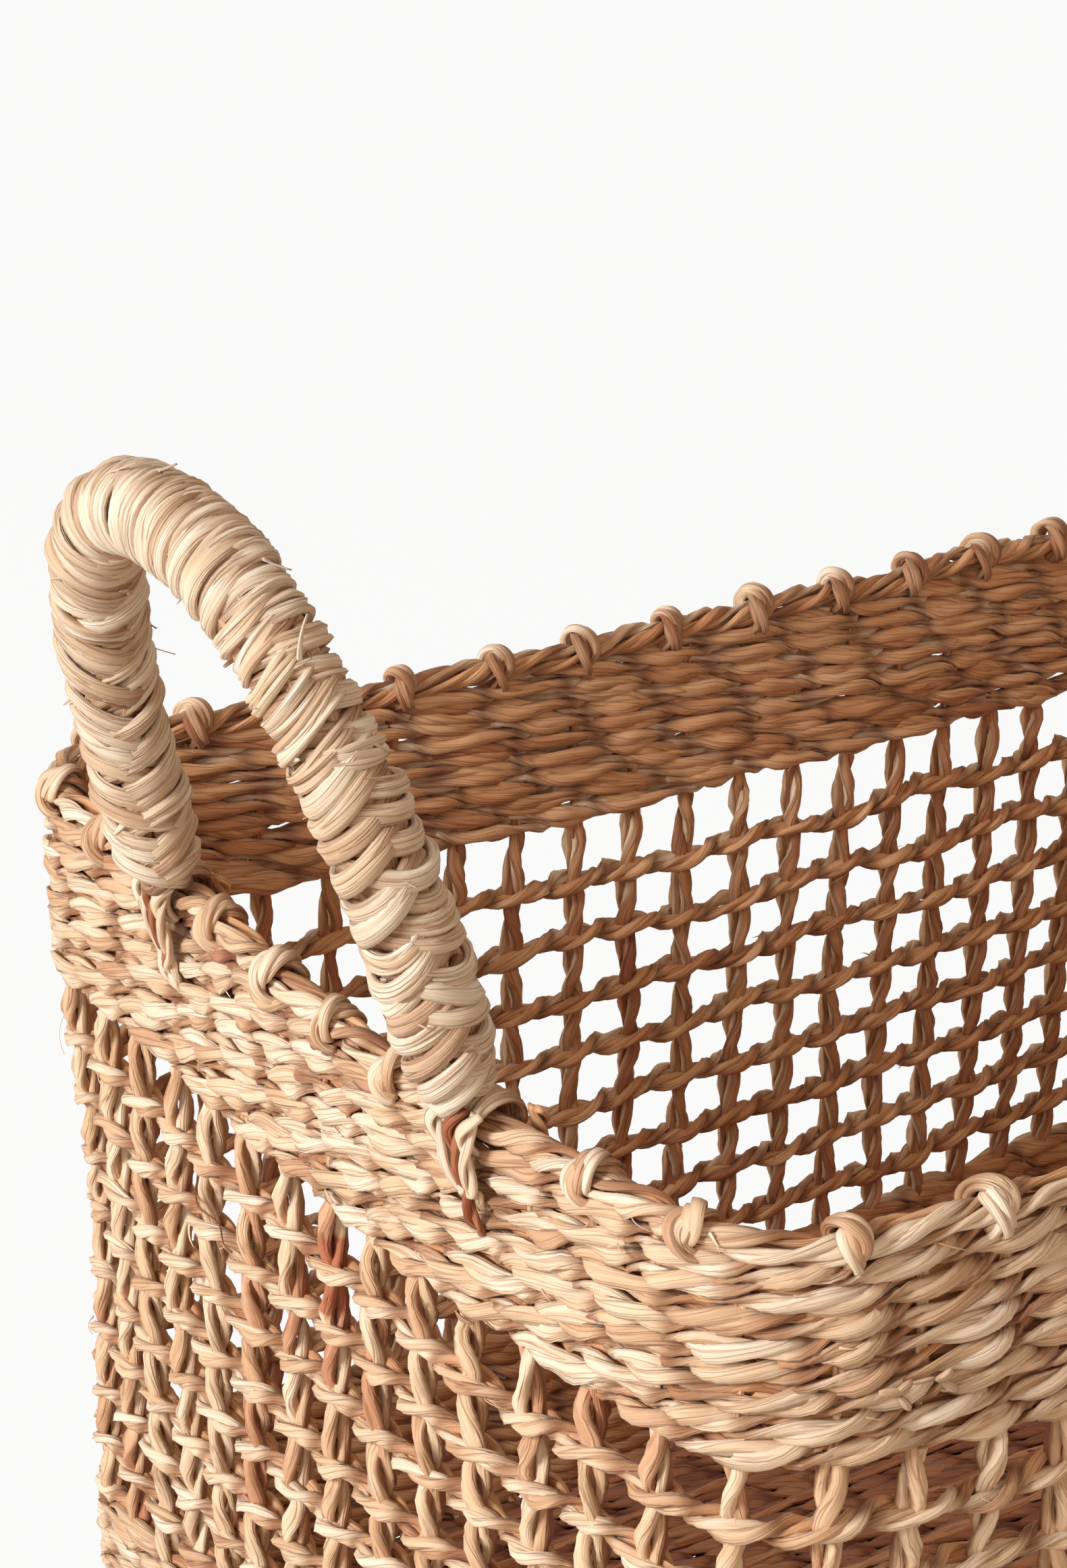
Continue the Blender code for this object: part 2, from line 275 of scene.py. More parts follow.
    def build(self, name, material):
        mesh = bpy.data.meshes.new(name)
        points = np.concatenate(self.points).astype(np.float32)
        loops = np.concatenate(self.loops).astype(np.int32)
        sizes = np.concatenate(self.sizes)
        mesh.vertices.add(len(points))
        mesh.vertices.foreach_set("co", points.ravel())
        mesh.loops.add(len(loops))
        mesh.loops.foreach_set("vertex_index", loops)
        mesh.polygons.add(len(sizes))
        starts = np.concatenate([[0], np.cumsum(sizes)[:-1]]).astype(np.int32)
        mesh.polygons.foreach_set("loop_start", starts)
        mesh.update(calc_edges=True)
        mesh.shade_smooth()
        layer = mesh.uv_layers.new(name="Strand")
        layer.data.foreach_set("uv", np.concatenate(self.uvs).astype(np.float32).ravel())
        for label, parts in (("tone", self.tones), ("lift", self.lifts)):
            values = np.concatenate(parts).astype(np.float32)
            mesh.attributes.new(label, "FLOAT", "POINT").data.foreach_set("value", values)
        mesh.materials.append(material)
        piece = bpy.data.objects.new(name, mesh)
        bpy.context.scene.collection.objects.link(piece)
        return piece


def place(piece, body, slot, *nodes):
    """Makes a piece ride on its body and stand for its CAD nodes."""
    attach(piece, body)
    if nodes:
        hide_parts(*nodes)


# ---------------------------------------------------------------- materials

def srgb(red, green, blue):
    """A linear colour from the usual 0 to 255 values."""
    def linear(value):
        value /= 255
        return value / 12.92 if value <= 0.04045 else ((value + 0.055) / 1.055) ** 2.4
    return (linear(red), linear(green), linear(blue), 1.0)


def seagrass(name, outer, inner, shade_and_dark_fibre, bump=0.5, roughness=0.62):
    """Dry grass: fibre streaks along each strand, patches of darker tone, and painted shade between the
    strands and in their creases.

    outer and inner list four colours, from a strand's tone 0 to tone 1; inner, for faces turned into
    the basket, is partly the grass's own browner colour and partly painted shade.
    """
    material = bpy.data.materials.new(name)
    material.use_nodes = True
    nodes, links = material.node_tree.nodes, material.node_tree.links
    shader = nodes["Principled BSDF"]

    def node(kind, **values):
        made = nodes.new("ShaderNode" + kind)
        for key, value in values.items():
            setattr(made, key, value)
        return made

    def attribute(label):
        return node("Attribute", attribute_name=label).outputs["Fac"]

    def noise(vector, scale, stretch, detail=3.0):
        mapping = node("Mapping")
        mapping.inputs["Scale"].default_value = stretch
        links.new(vector, mapping.inputs["Vector"])
        texture = node("TexNoise")
        texture.inputs["Scale"].default_value = scale
        texture.inputs["Detail"].default_value = detail
        links.new(mapping.outputs["Vector"], texture.inputs["Vector"])
        return texture.outputs["Fac"]

    def span(value, low, high, to_low=0.0, to_high=1.0):
        made = node("MapRange", interpolation_type="SMOOTHSTEP")
        links.new(value, made.inputs["Value"])
        made.inputs["From Min"].default_value = low
        made.inputs["From Max"].default_value = high
        made.inputs["To Min"].default_value = to_low
        made.inputs["To Max"].default_value = to_high
        return made.outputs["Result"]

    def mix(factor, first, second, blend="MIX"):
        made = node("Mix", data_type="RGBA", blend_type=blend)
        for value, key in ((factor, "Factor"), (first, "A"), (second, "B")):
            socket = next(s for s in made.inputs if s.name == key and
                          (s.type == "RGBA" or key == "Factor" and s.type == "VALUE"))
            if isinstance(value, bpy.types.NodeSocket):
                links.new(value, socket)
            else:
                socket.default_value = value
        return next(s for s in made.outputs if s.type == "RGBA")

    def ramp(value, colours):
        made = node("ValToRGB")
        elements = made.color_ramp.elements
        while len(elements) < len(colours):
            elements.new(0.5)
        for number, colour in enumerate(colours):
            elements[number].position = number / (len(colours) - 1)
            elements[number].color = colour
        links.new(value, made.inputs["Fac"])
        return made.outputs["Color"]

    def lines(value, width):
        """1 on the contour lines of a stretched noise, which run along the strand like creases."""
        off = node("Math", operation="SUBTRACT")
        links.new(value, off.inputs[0])
        off.inputs[1].default_value = 0.5
        size = node("Math", operation="ABSOLUTE")
        links.new(off.outputs[0], size.inputs[0])
        return span(size.outputs[0], 0.0, width, 1.0, 0.0)

    uv = node("UVMap", uv_map="Strand").outputs["UV"]
    place_on_object = node("TexCoord").outputs["Object"]
    tone, lift = attribute("tone"), attribute("lift")
    fibres = noise(uv, 1.0, (60.0, 2600.0, 1.0), 2.0)
    streaks = noise(uv, 1.0, (26.0, 620.0, 1.0), 3.0)
    # Creases along the strand: grooves in the bump, and painted shade in the colour below.
    shaded_creases = lines(noise(uv, 1.0, (22.0, 480.0, 1.0), 1.0), 0.035)
    veins = lines(noise(uv, 1.0, (45.0, 1100.0, 1.0), 1.0), 0.05)
    patches = noise(place_on_object, 60.0, (1.0, 1.0, 1.0), 2.0)

    # Faces turned into the basket take the inner palette: partly the grass's own browner colour, partly
    # painted shade of the basket's inside.
    colour = mix(span(lift, -0.55, 0.10), ramp(tone, inner), ramp(tone, outer))
    colour = mix(span(patches, 0.35, 0.7, 0.0, 0.6), colour, (0.88, 0.79, 0.69, 1.0), "MULTIPLY")
    colour = mix(span(streaks, 0.45, 0.70, 0.0, 0.55), colour, (0.78, 0.64, 0.51, 1.0), "MULTIPLY")
    colour = mix(span(fibres, 0.48, 0.72, 0.0, 0.35), colour, (0.74, 0.60, 0.47, 1.0), "MULTIPLY")
    colour = mix(span(veins, 0.0, 1.0, 0.0, 0.25), colour, (0.62, 0.45, 0.32, 1.0), "MULTIPLY")
    # Painted shade: the creases, which the bump cuts as grooves, are darkened.
    colour = mix(span(shaded_creases, 0.0, 1.0, 0.0, 0.5), colour, (0.50, 0.31, 0.19, 1.0), "MULTIPLY")
    # Painted shade: the colour darkens towards the middle of the weave's thickness, where lift is near
    # 0 and shade falls between the strands.
    depth = node("Math", operation="ABSOLUTE")
    links.new(lift, depth.inputs[0])
    colour = mix(span(depth.outputs[0], 0.0, 0.65, 0.85, 0.0), colour, shade_and_dark_fibre, "MULTIPLY")
    links.new(colour, shader.inputs["Base Color"])
    links.new(span(streaks, 0.3, 0.7, roughness - 0.10, roughness + 0.14), shader.inputs["Roughness"])
    shader.inputs["Specular IOR Level"].default_value = 0.4
    shader.inputs["Sheen Weight"].default_value = 0.08
    shader.inputs["Sheen Roughness"].default_value = 0.5

    height = node("Math", operation="MULTIPLY_ADD")
    links.new(streaks, height.inputs[0])
    height.inputs[1].default_value = 1.8
    links.new(fibres, height.inputs[2])
    grooved = node("Math", operation="SUBTRACT")
    links.new(height.outputs[0], grooved.inputs[0])
    links.new(shaded_creases, grooved.inputs[1])
    bumps = node("Bump")
    bumps.inputs["Strength"].default_value = bump
    bumps.inputs["Distance"].default_value = 0.0007
    links.new(grooved.outputs[0], bumps.inputs["Height"])
    links.new(bumps.outputs["Normal"], shader.inputs["Normal"])
    return material


# The colour of the shade painted between the strands, deep in the weave; it also darkens the one dark
# stray fibre, whose lift is 0.
PAINTED_SHADE_AND_DARK_FIBRE = (0.44, 0.26, 0.145, 1.0)
OUTER = [srgb(243, 223, 200), srgb(234, 205, 175), srgb(218, 180, 145), srgb(188, 130, 100)]
# Inner palettes: partly the grass's own browner colour on the inner side, partly painted shade, the
# basket's inside being darker.
SHADED_INNER = [srgb(230, 182, 140), srgb(222, 169, 124), srgb(207, 150, 107), srgb(180, 120, 84)]
STAKE = [srgb(242, 217, 188), srgb(235, 202, 168), srgb(221, 178, 141), srgb(192, 118, 86)]
# The stakes' inner palette: partly their own redder colour, partly painted shade.
SHADED_STAKE_INNER = [srgb(214, 160, 118), srgb(204, 144, 102), srgb(186, 122, 84), srgb(162, 96, 66)]
BASE = [srgb(190, 134, 94), srgb(178, 120, 82), srgb(162, 104, 70), srgb(140, 82, 54)]
HANDLE = [srgb(238, 223, 203), srgb(231, 210, 186), srgb(219, 192, 163), srgb(188, 138, 106)]
TIE = [srgb(238, 220, 197), srgb(226, 198, 168), srgb(200, 148, 108), srgb(168, 98, 60)]

twined = seagrass("twined_seagrass", OUTER, SHADED_INNER, PAINTED_SHADE_AND_DARK_FIBRE)
staked = seagrass("stake_seagrass", STAKE, SHADED_STAKE_INNER, PAINTED_SHADE_AND_DARK_FIBRE)
based = seagrass("base_seagrass", BASE, BASE, PAINTED_SHADE_AND_DARK_FIBRE)
wrapped = seagrass("handle_wrap_seagrass", HANDLE, HANDLE, PAINTED_SHADE_AND_DARK_FIBRE, bump=0.6, roughness=0.55)
cored = seagrass("handle_core_seagrass", OUTER[1:], SHADED_INNER, PAINTED_SHADE_AND_DARK_FIBRE)
tied = seagrass("tie_seagrass", TIE, SHADED_INNER, PAINTED_SHADE_AND_DARK_FIBRE)


# ---------------------------------------------------------------- twined rows round the walls

def crossings(turn, half_turns, turned):
    """The angle of the twining up to a turn; the back wall is twined the other way if turned."""
    back = np.clip(turn - 0.5 + BACK_SHARE / 2, 0, BACK_SHARE) if turned else 0
    return PI * half_turns * (turn - 2 * back)


def twine_row(strands, height, half_turns, phase, swing_out, swing_up, wide, thin, stations, seed,
              wander, edge_on, leafy):
    """Two strands that twist round each other all the way round the walls."""
    turn = np.arange(stations) / stations
    drift = phase + 0.30 * ripple(turn, 7, 45, seed)
    lie = height + wander * ripple(turn, 5, 30, seed + 1)
    for ply in (0, 1):
        angle = crossings(turn, half_turns, half_turns == BAND_CROSSINGS) + drift + PI * ply
        out = swing_out * np.cos(angle) * (1 + 0.14 * ripple(turn, 9, 60, seed + 2 + ply))
        rise = swing_up * np.sin(angle) + 0.3 * wander * ripple(turn, 20, 90, seed + 4 + ply)
        points, outward, _ = wall(turn, lie + rise, out)
        facing = angle - edge_on * np.sin(2 * angle) / 2
        face = np.cos(facing)[:, None] * outward + np.sin(facing)[:, None] * UP
        width = wide * (0.98 + 0.07 * np.cos(2 * angle) + 0.14 * ripple(turn, 15, 110, seed + 6 + ply))
        depth = thin * (1 + 0.12 * ripple(turn, 20, 120, seed + 8 + ply))
        # A ply's lift, cos(angle), paints shade where it passes through the middle of the weave and the
        # partly shaded inner palette where it lies on the inner face.
        if leafy:
            strands.leaves(points, face, width, depth, np.cos(angle), closed=True, turns=leafy + ply)
        else:
            strands.add(points, face, width, depth, np.cos(angle), closed=True, fold=0.2)


def twined_band(name, node, bottom, top, stations, leafy, seed):
    """A dense band: rows of twining that touch, a little out of step with each other."""
    strands = Strands(seed)
    rows = round((top - bottom) / 0.0061)
    turn = np.arange(stations) / stations
    if bottom > FOOT_TOP:
        for middle, span, reach in BAND_DROPS:
            bottom = bottom - reach * bump(turn, 0, middle, 0, span, 1)
    pitch = (top - bottom) / rows
    draw = np.random.default_rng(seed)
    for row in range(rows):
        phase = 0.3 * row + draw.normal(0, 0.6)
        twine_row(strands, bottom + (row + 0.5) * pitch, BAND_CROSSINGS, phase, swing_out=0.0023,
                  swing_up=0.0015, wide=0.0036, thin=0.0017, stations=stations,
                  seed=seed + 20 * row, wander=0.0005, edge_on=0.75, leafy=leafy)
    place(strands.build(name, twined), "root", "twined_seagrass", node)


def open_rows():
    """The single rows, whose strands cross once between stakes and so hold each stake."""
    for row, height in enumerate(OPEN_HEIGHTS, 1):
        strands = Strands(300 + row)
        twine_row(strands, height, STAKE_PLACES, PI / 2 + PI * (row % 2), 0.0027, 0.0012, 0.0025,
                  0.0021, 760, 400 + 20 * row, 0.0012, 0.5, 25)
        place(strands.build(f"twined_row_{row}", twined), "root", "twined_seagrass",
              f"open_weft_{row}")


# ---------------------------------------------------------------- stakes

RED_STAKE, RED_HEIGHT = "long_stake_08", 0.219      # one leaf of this stake is reddish


def leg(turn, seed):
    """Both strands of a stake on one wall, from the rim down to the base, and their shape."""
    draw = np.random.default_rng(seed)
    height = np.linspace(BAND_TOP, 0.007, 110)
    twist = PI * (height - OPEN_HEIGHTS[0]) / OPEN_PITCH
    share = height / RIM_TOP
    into_open = np.minimum(BAND_BOTTOM + 0.004 - height, height - FOOT_TOP + 0.004)
    open_part = np.clip(into_open / 0.008, 0, 1)
    wobble = 0.0007 * ripple(share, 1, 4, seed)
    hand = draw.choice([-1, 1])
    plies = []
    for ply in (0, 1):
        angle = twist * hand + PI * ply + 0.35 * ripple(share, 2, 6, seed + 1)
        sideways = wobble + (0.0009 + 0.0005 * open_part) * np.cos(angle)
        out = 0.0020 * open_part * np.sin(angle)
        points, outward, along = wall(turn, height, out, sideways)
        face = outward + 0.5 * open_part[:, None] * np.sin(2 * angle)[:, None] * along
        wide = (0.0012 + 0.0009 * open_part) * (1 + 0.20 * ripple(share, 3, 9, seed + 2 + ply))
        thin = 0.0008 + 0.0011 * open_part
        # Painted shade: lift is low where the rows cover the stake and higher where it shows between
        # them.
        lift = 0.1 + open_part * (0.35 + 0.15 * np.sin(angle))
        plies.append((points, face, wide, thin, lift))
    return plies


def stake(name, first_place, second_place, base_height, seed):
    """A two-strand stake: down one wall, across the base and up the opposite wall."""
    strands = Strands(seed)
    first = leg(first_place / STAKE_PLACES, seed + 1)
    second = leg(second_place / STAKE_PLACES, seed + 11)
    run_steps = 46
    for ply in (0, 1):
        down, up = first[ply], second[ply]
        share = np.linspace(0, 1, run_steps)[1:-1]
        start, end = down[0][-1], up[0][-1]
        inward = unit(end - start)
        start, end = start + 0.006 * inward, end - 0.006 * inward
        run = start + share[:, None] * (end - start)
        across = np.cross(inward, UP)
        run = run + 0.0011 * np.cos(PI * ply + 60 * share)[:, None] * across
        run[:, 2] = base_height
        path = np.concatenate([down[0], run, up[0][::-1]])
        face = np.concatenate([down[1], np.tile(-UP, (len(run), 1)), up[1][::-1]])
        wide = np.concatenate([down[2], np.full(len(run), 0.0014), up[2][::-1]])
        thin = np.concatenate([down[3], np.full(len(run), 0.0008), up[3][::-1]])
        lift = np.concatenate([down[4], np.full(len(run), -0.5), up[4][::-1]])
        shade = strands.shades(len(path), None)
        if name == RED_STAKE:
            shade = np.where((path[:, 0] < 0) & (abs(path[:, 2] - RED_HEIGHT) < 0.012), 1.1, shade)
        # across_lift paints the stake's face turned into the basket with the partly shaded inner
        # palette; the run across the base, at lift -0.5, takes it too, with some painted shade.
        strands.add(path, face, wide, thin, lift=lift, tone=shade, across_lift=0.9)
    return strands.build(name.replace("_stake", "_warp"), staked)


def stakes():
    quarter = STAKE_PLACES / 4
    sets = (("long_stake", 16, quarter, 3 * quarter, 0.0075),
            ("cross_stake", 20, 0, 2 * quarter, 0.0042))
    for label, count, first, second, base_height in sets:
        for number in range(count):
            offset = number + 0.5 - count / 2
            name = f"{label}_{number + 1:02d}"
            piece = stake(name, first + offset, second - offset, base_height,
                          1000 + 40 * number + 900 * (count == 20))
            place(piece, "root", "stake_seagrass", name)


# ---------------------------------------------------------------- base

def base():
    """Rows of twining along X, closed by the lowest band."""
    strands = Strands(50)
    half_width = WIDTH / 2 - 0.009
    rows = round(2 * half_width / 0.0064)
    across = STAKE_PLACES / PERIMETER
    for row in range(rows):
        y = -half_width + (row + 0.5) * 2 * half_width / rows
        beyond = max(0.0, abs(y) - STRAIGHT_Y)
        reach = CORNER_RADIUS - 0.0065
        end = STRAIGHT_X + math.sqrt(max(0.0, reach ** 2 - beyond ** 2))
        share = np.linspace(0, 1, 190)
        x = -end + 2 * end * share
        for ply in (0, 1):
            angle = PI * across * x + PI * ply + 0.3 * ripple(share, 3, 20, 700 + row) + 0.2 * row
            lie = y + 0.0018 * np.sin(angle) + 0.0003 * ripple(share, 3, 16, 800 + row)
            points = np.concatenate([bowed(np.stack([x, lie], -1)) * (1 - TAPER),
                                     (0.0042 - 0.0022 * np.cos(angle))[:, None]], -1)
            facing = angle - 0.27 * np.sin(2 * angle)
            face = -np.cos(facing)[:, None] * UP + np.sin(facing)[:, None] * np.array([0, 1.0, 0])
            wide = 0.0036 * (1 + 0.10 * ripple(share, 5, 40, 900 + row + 60 * ply))
            # lift, cos(angle), paints shade where a ply passes through the middle of the base's
            # thickness.
            strands.add(points, face, wide, 0.0015, lift=np.cos(angle), sides=6)
    place(strands.build("base_twining", based), "root", "base_seagrass", "base_weave")


# ---------------------------------------------------------------- rim

RIM_MIDDLE = RIM_TOP - 0.0062


def rim():
    """Three long strands laid as a cord on the ends of the stakes."""
    strands = Strands(60)
    turn = np.arange(900) / 900
    pinch = 0.5 + 0.5 * np.cos(2 * PI * (KNOTS * turn - 0.62))
    for ply in range(3):
        angle = 2 * PI * (KNOTS / 2 * turn + ply / 3) + 0.3 * ripple(turn, 9, 50, 61)
        spread = 0.0024 - 0.0006 * pinch
        height = RIM_MIDDLE - 0.0004 * pinch + spread * np.sin(angle)
        height = height + 0.0006 * ripple(turn, 8, 40, 62)
        points, outward, _ = wall(turn, height, 1.25 * spread * np.cos(angle))
        face = np.cos(angle)[:, None] * outward + np.sin(angle)[:, None] * UP
        wide = 0.0026 * (1 + 0.18 * ripple(turn, 20, 100, 63 + ply))
        # The plies' lift paints their inward-facing half with the partly shaded inner palette and their
        # tops with some painted shade.
        strands.leaves(points, face, wide, 0.0016, 0.15 + 0.85 * np.cos(angle), closed=True,
                       turns=26 + ply)
    place(strands.build("rim_rope", twined), "root", "twined_seagrass", "rim_cord")


def loop(strands, turn, lean, half_width, radius, weave, wide, thin, first, last, tone=None):
    """One strand that goes over the rim cord from its outer side to its inner side."""
    share = np.linspace(0, 1, 34)
    around = np.radians(first + (last - first) * share)
    size = radius + 0.0009 * np.sin(2 * PI * 1.4 * share + weave)
    sideways = lean * (share - 0.35) + half_width * np.cos(2 * PI * 1.4 * share + weave)
    height = RIM_MIDDLE + 1.05 * size * np.sin(around)
    points, outward, _ = wall(turn, height, size * np.cos(around), sideways)
    face = np.cos(around)[:, None] * outward + np.sin(around)[:, None] * UP
    taper = np.sin(PI * np.clip(share, 0.14, 0.86)) ** 0.5
    # Painted shade by lift: a loop's inner side takes the partly shaded inner palette, its top some
    # shade, its outer side none.
    lift = 0.35 + 0.65 * np.cos(around) + 0.1 * np.sin(around)
    strands.leaves(points, face, wide * taper, thin, lift, turns=0.8, tone=tone)


def knots():
    """Loops over the rim: two strands that cross on the outer side and on top."""
    strands = Strands(70)
    foot_turns = [0.25 + side * FOOT_PLACE / STAKE_PLACES + half
                  for half in (0, 0.5) for side in (-1, 1)]
    for number in range(KNOTS):
        draw = np.random.default_rng(4000 + number)
        spot = number + 0.62 + 0.40 * bump(number / KNOTS, 0, 0.93, 0, 0.06, 1)
        turn = spot / KNOTS + draw.normal(0, 0.0009)
        if min(abs(turn - foot) for foot in foot_turns) * PERIMETER < 0.012:
            continue
        size, weave = draw.uniform(0.9, 1.12), draw.normal(0.4, 0.3)
        for ply in (0, 1):
            loop(strands, turn, 0.001 * draw.normal(), 0.0019 * size, 0.0049 * size, weave + PI * ply,
                 0.0028 * size, 0.0016, -72, 255)
    place(strands.build("rim_knots", twined), "root", "twined_seagrass")


# ---------------------------------------------------------------- handles

HANDLE_RADIUS = 0.0112
HANDLE_RISE = 0.1316          # from the rim's top to the middle of the rope, along the lean
SQUARENESS = 2.24
LEAN = math.radians(16.4)
FOOT_PLACE = 3.5              # stake places from the middle of a short wall to a foot
FOOT_X = 0.2385
SPAN_MIDDLE = -0.0052
HALF_SPAN = 0.0705
AXIS_UP_ROPE = 0.0140         # from the start of the rope's line to the flex axis
BROAD_LEAVES = [(0.0001, 0.0028)]      # place along the rope, half width
NARROW_LEAVES = [(-0.0015, 0.0013), (0.0001, 0.0013), (0.0016, 0.0012)]
FOOT_ROUND = 0.0145           # how far past the flex axis a foot's roundness reaches
FOOT_TIP = 0.42               # square of the share of its radius that a foot keeps at its tip


class Arch:
    """The line along the middle of a handle's rope, by distance from its front end."""

    def __init__(self, wall_sign):
        self.up = np.array([wall_sign * math.sin(LEAN), 0, math.cos(LEAN)])
        self.normal = np.array([math.cos(LEAN), 0, -wall_sign * math.sin(LEAN)])
        angle = np.linspace(0, PI, 801)
        power = 2 / SQUARENESS
        rise = np.abs(np.sin(angle)) ** power * HANDLE_RISE
        rise[[0, -1]] = 0
        self.line = np.array([wall_sign * FOOT_X, 0, RIM_TOP]) + np.outer(rise, self.up)
        across = np.sign(np.cos(angle)) * np.abs(np.cos(angle)) ** power * HALF_SPAN
        self.line[:, 1] = SPAN_MIDDLE - across
        steps = np.linalg.norm(np.diff(self.line, axis=0), axis=-1)
        self.reach = np.concatenate([[0], np.cumsum(steps)])
        self.length = self.reach[-1]

    def point(self, distance):
        return np.stack([np.interp(distance, self.reach, self.line[:, k]) for k in range(3)], -1)

    def around(self, distance, theta, radius):
        """Points on the rope's surface; theta 0 faces along the normal, a quarter turn inward."""
        along = unit(self.point(distance + 0.004) - self.point(distance - 0.004))
        inward = np.cross(along, self.normal)
        radial = np.cos(theta)[:, None] * self.normal + np.sin(theta)[:, None] * inward
        past = np.maximum(AXIS_UP_ROPE - distance, distance - self.length + AXIS_UP_ROPE)
        ball = np.sqrt(np.maximum(FOOT_TIP, 1 - (np.maximum(past, 0) / FOOT_ROUND) ** 2))
        return self.point(distance) + (radius * ball)[:, None] * radial, radial


def flexing(piece, side_name, wall_sign, slot, *nodes):
    """Bakes a handle's piece's placement into its mesh and makes it stand for its nodes."""
    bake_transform(piece)
    if nodes:
        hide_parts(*nodes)


def handle(side_name, wall_sign):
    """Leaves wound round the core in two sets that lean opposite ways and plait on the legs."""
    body = "handle_" + side_name
    arch = Arch(wall_sign)
    strands = Strands(80 + wall_sign)
    draw = np.random.default_rng(90 + wall_sign)
    pitch = 0.0064
    start = AXIS_UP_ROPE - 0.0120
    groups = int((arch.length - 2 * start) / pitch)
    share_round = np.arange(28) / 28
    theta = 2 * PI * share_round
    for number in range(2 * groups):
        way = -1 if number % 2 else 1
        middle = start + (number + 0.7) * pitch / 2
        share = middle / arch.length
        crown = math.exp(-((share - 0.45) / 0.15) ** 2)
        rising = -math.radians(34) * (1 - 2 * share) + 0.25 * draw.normal()
        lean = 0.0060 * (1 - 0.70 * crown) if way > 0 else -0.0056 * (1 - 1.2 * crown)
        lean *= -wall_sign * draw.uniform(0.75, 1.25)
        seam = math.radians(160 + 40 * share) + 0.35 * draw.normal()
        over = way * 0.0012 * np.tanh(1.6 * np.cos(theta - seam)) * (1 - 0.4 * crown)
        lump = 0.00035 * draw.normal()
        broad = draw.random() < 0.85 - 0.6 * crown
        leaves = BROAD_LEAVES if broad else NARROW_LEAVES
        for leaf, half_width in leaves:
            distance = middle + leaf * draw.uniform(0.85, 1.15) + lean * np.cos(theta - rising)
            waver = ripple(share_round, 1, 3, 5000 + 7 * number + round(leaf * 1e3))
            distance = distance + 0.0004 * waver
            radius = HANDLE_RADIUS - 0.0017 + lump + over + 0.00015 * draw.normal()
            radius = radius + 0.0003 * ripple(share_round, 1, 4, 9000 + 7 * number)
            path, radial = arch.around(np.clip(distance, 0.001, arch.length - 0.001), theta, radius)
            # Painted shade: a leaf is darker where it dips under its neighbours, where over is below 0,
            # and the outer leaves of a narrow group a little darker.
            lift = np.clip(0.58 + 420 * over - 90 * abs(leaf), 0.0, 1.0)
            strands.add(path, radial, half_width * draw.uniform(0.88, 1.12), 0.0014, lift=lift,
                        closed=True, sides=8, fold=0.13)
    piece = strands.build(f"{body}_winding", wrapped)
    flexing(piece, side_name, wall_sign, "handle_wrap", f"{body}_wrap")

    core = Strands(95)
    distance = np.linspace(0.0045, arch.length - 0.0045, 110)
    for ply in range(7):
        theta = 2 * PI * ply / 6 + 18 * distance
        radius = np.full(110, 0.0 if ply == 6 else 0.0058)
        path, radial = arch.around(distance, theta, radius)
        # lift 0.5 gives the core, under the wrap, a little painted shade.
        core.add(path, radial, 0.0034, 0.0034, lift=0.5)
    piece = core.build(f"{body}_fibre_core", cored)
    flexing(piece, side_name, wall_sign, "handle_core", f"{body}_core")

    ends = Strands(130 + wall_sign)
    for number in range(34):
        theta = draw.uniform(0, 2 * PI) + np.linspace(0, draw.uniform(0.15, 0.5), 9)
        distance = draw.uniform(0.02, arch.length - 0.02) + np.linspace(0, draw.normal(0, 0.004), 9)
        stand = 0.006 if number % 17 == 0 else draw.uniform(0.0006, 0.0026)
        radius = HANDLE_RADIUS - 0.0004 + stand * np.linspace(0, 1, 9) ** 2
        path, radial = arch.around(distance, theta, radius)
        ends.add(path, radial, draw.uniform(0.0003, 0.0014) * np.linspace(1, 0.3, 9), 0.00018, sides=5)
    flexing(ends.build(f"{body}_loose_ends", wrapped), side_name, wall_sign, "handle_wrap")


def tie(name, node, turn, seed):
    """A collar of loops that lashes the rope's foot to the rim, and its ends on the band."""
    strands = Strands(seed)
    draw = np.random.default_rng(seed)
    for number in range(3):
        shift = 0.0034 * (number - 1) / PERIMETER
        loop(strands, turn + shift, 0.002 * draw.normal(), 0.0006, 0.0066, draw.random() * 6, 0.0023,
             0.0013, -62, 245, tone=draw.uniform(0, 0.3))
    share = np.linspace(0, 1, 44)
    for face_side in (1, -1):
        for number, tone in enumerate((0.05, 0.98, 0.2)):
            shift = 0.0036 * (number - 1) + 0.0008 * draw.normal()
            drop = RIM_TOP - 0.033 + 0.008 * draw.random()
            route = [(0.0060, RIM_TOP - 0.001, 1.6 * shift), (0.0088, RIM_TOP - 0.006, 1.4 * shift),
                     (0.0080, RIM_TOP - 0.013, shift + 0.001),
                     (0.0062, RIM_TOP - 0.022, 0.5 * shift + 0.002),
                     (0.0052, drop + 0.003, 0.2 * shift + 0.003), (0.0015, drop - 0.002, 0.003)]
            line = smooth_line(route, 44)
            for ply in (0, 1):
                twist = 11 * share + PI * ply
                points, outward, along = wall(turn, line[:, 1] + 0.0004 * np.sin(twist),
                                              face_side * (line[:, 0] + 0.0009 * np.sin(twist)),
                                              line[:, 2] + 0.0010 * np.cos(twist))
                face = face_side * outward + 0.4 * UP
                wide = 0.0015 * (1 + 0.15 * ripple(share, 1, 4, seed + number)) * (1.1 - 0.5 * share)
                # The ends on the inner face, lift -0.9, take the partly shaded inner palette.
                strands.add(points, face, wide, 0.0009, lift=0.9 * face_side, tone=tone)
    place(strands.build(name, tied), "root", "tie_strand", node)


